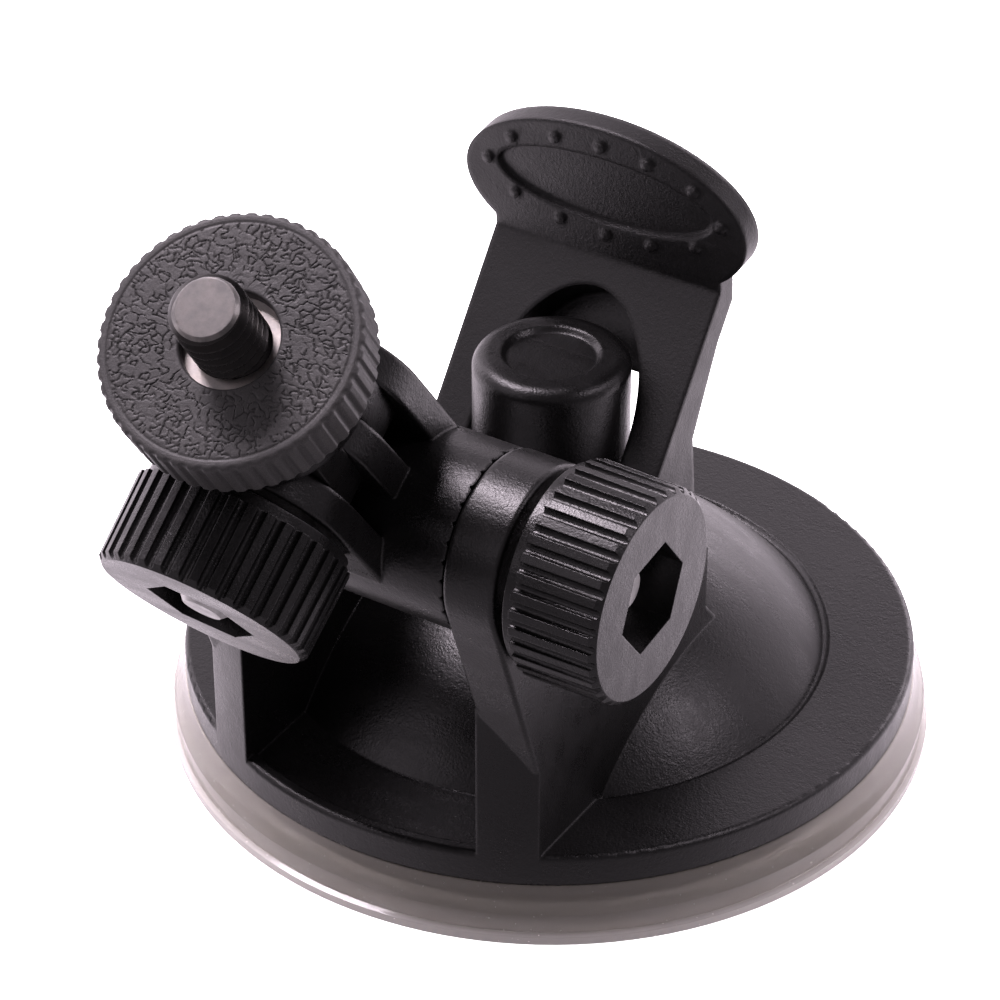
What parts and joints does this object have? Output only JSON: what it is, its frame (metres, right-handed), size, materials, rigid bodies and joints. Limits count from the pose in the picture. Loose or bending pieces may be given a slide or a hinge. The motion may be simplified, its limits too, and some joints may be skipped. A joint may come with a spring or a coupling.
{
  "type": "suction cup camera mount",
  "caption": "Lever-lock suction cup mount with a forked base, two clamp joints at right angles and a threaded screw head with a knurled lock disc.",
  "frame": {"origin": "centre of the plane that the suction cup sticks to, on the axis of the cup and the centre post", "axes": "+Z away from the stuck surface, +X along the yoke's clamp bolt towards its knob, -Y towards the side that the arm leans to"},
  "size_m": [0.0724, 0.093, 0.0725],
  "materials": {
    "black_plastic": "fine satin moulding",
    "knob_plastic": "satin moulding, ribbed",
    "disc_plastic": "leather-grain moulding, knurled rim",
    "inner_plastic": "plain moulding",
    "clear_cup": "soft translucent, slightly milky",
    "dark_steel": "dark nickel with a bright ground tip",
    "bright_metal": "bright turned",
    "zinc_steel": "zinc plated"
  },
  "bodies": {
    "base": {"base_housing": "black_plastic", "suction_cup": "clear_cup", "arm_bolt": "zinc_steel", "arm_washer": "zinc_steel", "return_spring": "zinc_steel"},
    "stem": {"pull_stem": "inner_plastic", "stem_plate": "inner_plastic", "lever_pin": "zinc_steel", "spring_washer": "zinc_steel"},
    "lever": {"lever": "black_plastic"},
    "arm": {"arm": "black_plastic", "head_bolt": "zinc_steel", "head_washer": "zinc_steel"},
    "head": {"head_base": "black_plastic", "tripod_screw": "dark_steel"},
    "lock_disc": {"lock_disc": "disc_plastic", "disc_insert": "bright_metal"},
    "arm_knob": {"arm_knob": "knob_plastic", "arm_nut": "zinc_steel"},
    "head_knob": {"head_knob": "knob_plastic", "head_nut": "zinc_steel"}
  },
  "joints": [
    {"name": "arm_tilt", "type": "hinge", "parent": "base", "child": "arm", "pos_m": [0, -0.02897, 0.03984], "axis": [1, 0, 0], "range_deg": [-55, 75]},
    {"name": "head_tilt", "type": "hinge", "parent": "arm", "child": "head", "pos_m": [-0.00178, -0.03739, 0.05115], "axis": [0, 0.802, 0.5973], "range_deg": [-70, 58]},
    {"name": "lock_disc_spin", "type": "hinge", "parent": "head", "child": "lock_disc", "pos_m": [0.00022, -0.04836, 0.06587], "axis": [0.1085, -0.5938, 0.7972], "continuous": true},
    {"name": "arm_knob_spin", "type": "hinge", "parent": "base", "child": "arm_knob", "pos_m": [0, -0.02897, 0.03984], "axis": [1, 0, 0], "continuous": true},
    {"name": "head_knob_spin", "type": "hinge", "parent": "arm", "child": "head_knob", "pos_m": [-0.00178, -0.03739, 0.05115], "axis": [0, -0.802, -0.5973], "continuous": true},
    {"name": "stem_lift", "type": "slide", "parent": "base", "child": "stem", "axis": [0, 0, 1], "range_m": [0, 0.0013], "deforming": ["return_spring"]},
    {"name": "lever_swing", "type": "hinge", "parent": "stem", "child": "lever", "pos_m": [0, 0, 0.0239], "axis": [-1, 0, 0], "range_deg": [0, 75]}
  ],
  "couplings": [
    {"joint": "stem_lift", "follows": "lever_swing", "m_per_rad": 0.0009931}
  ]
}
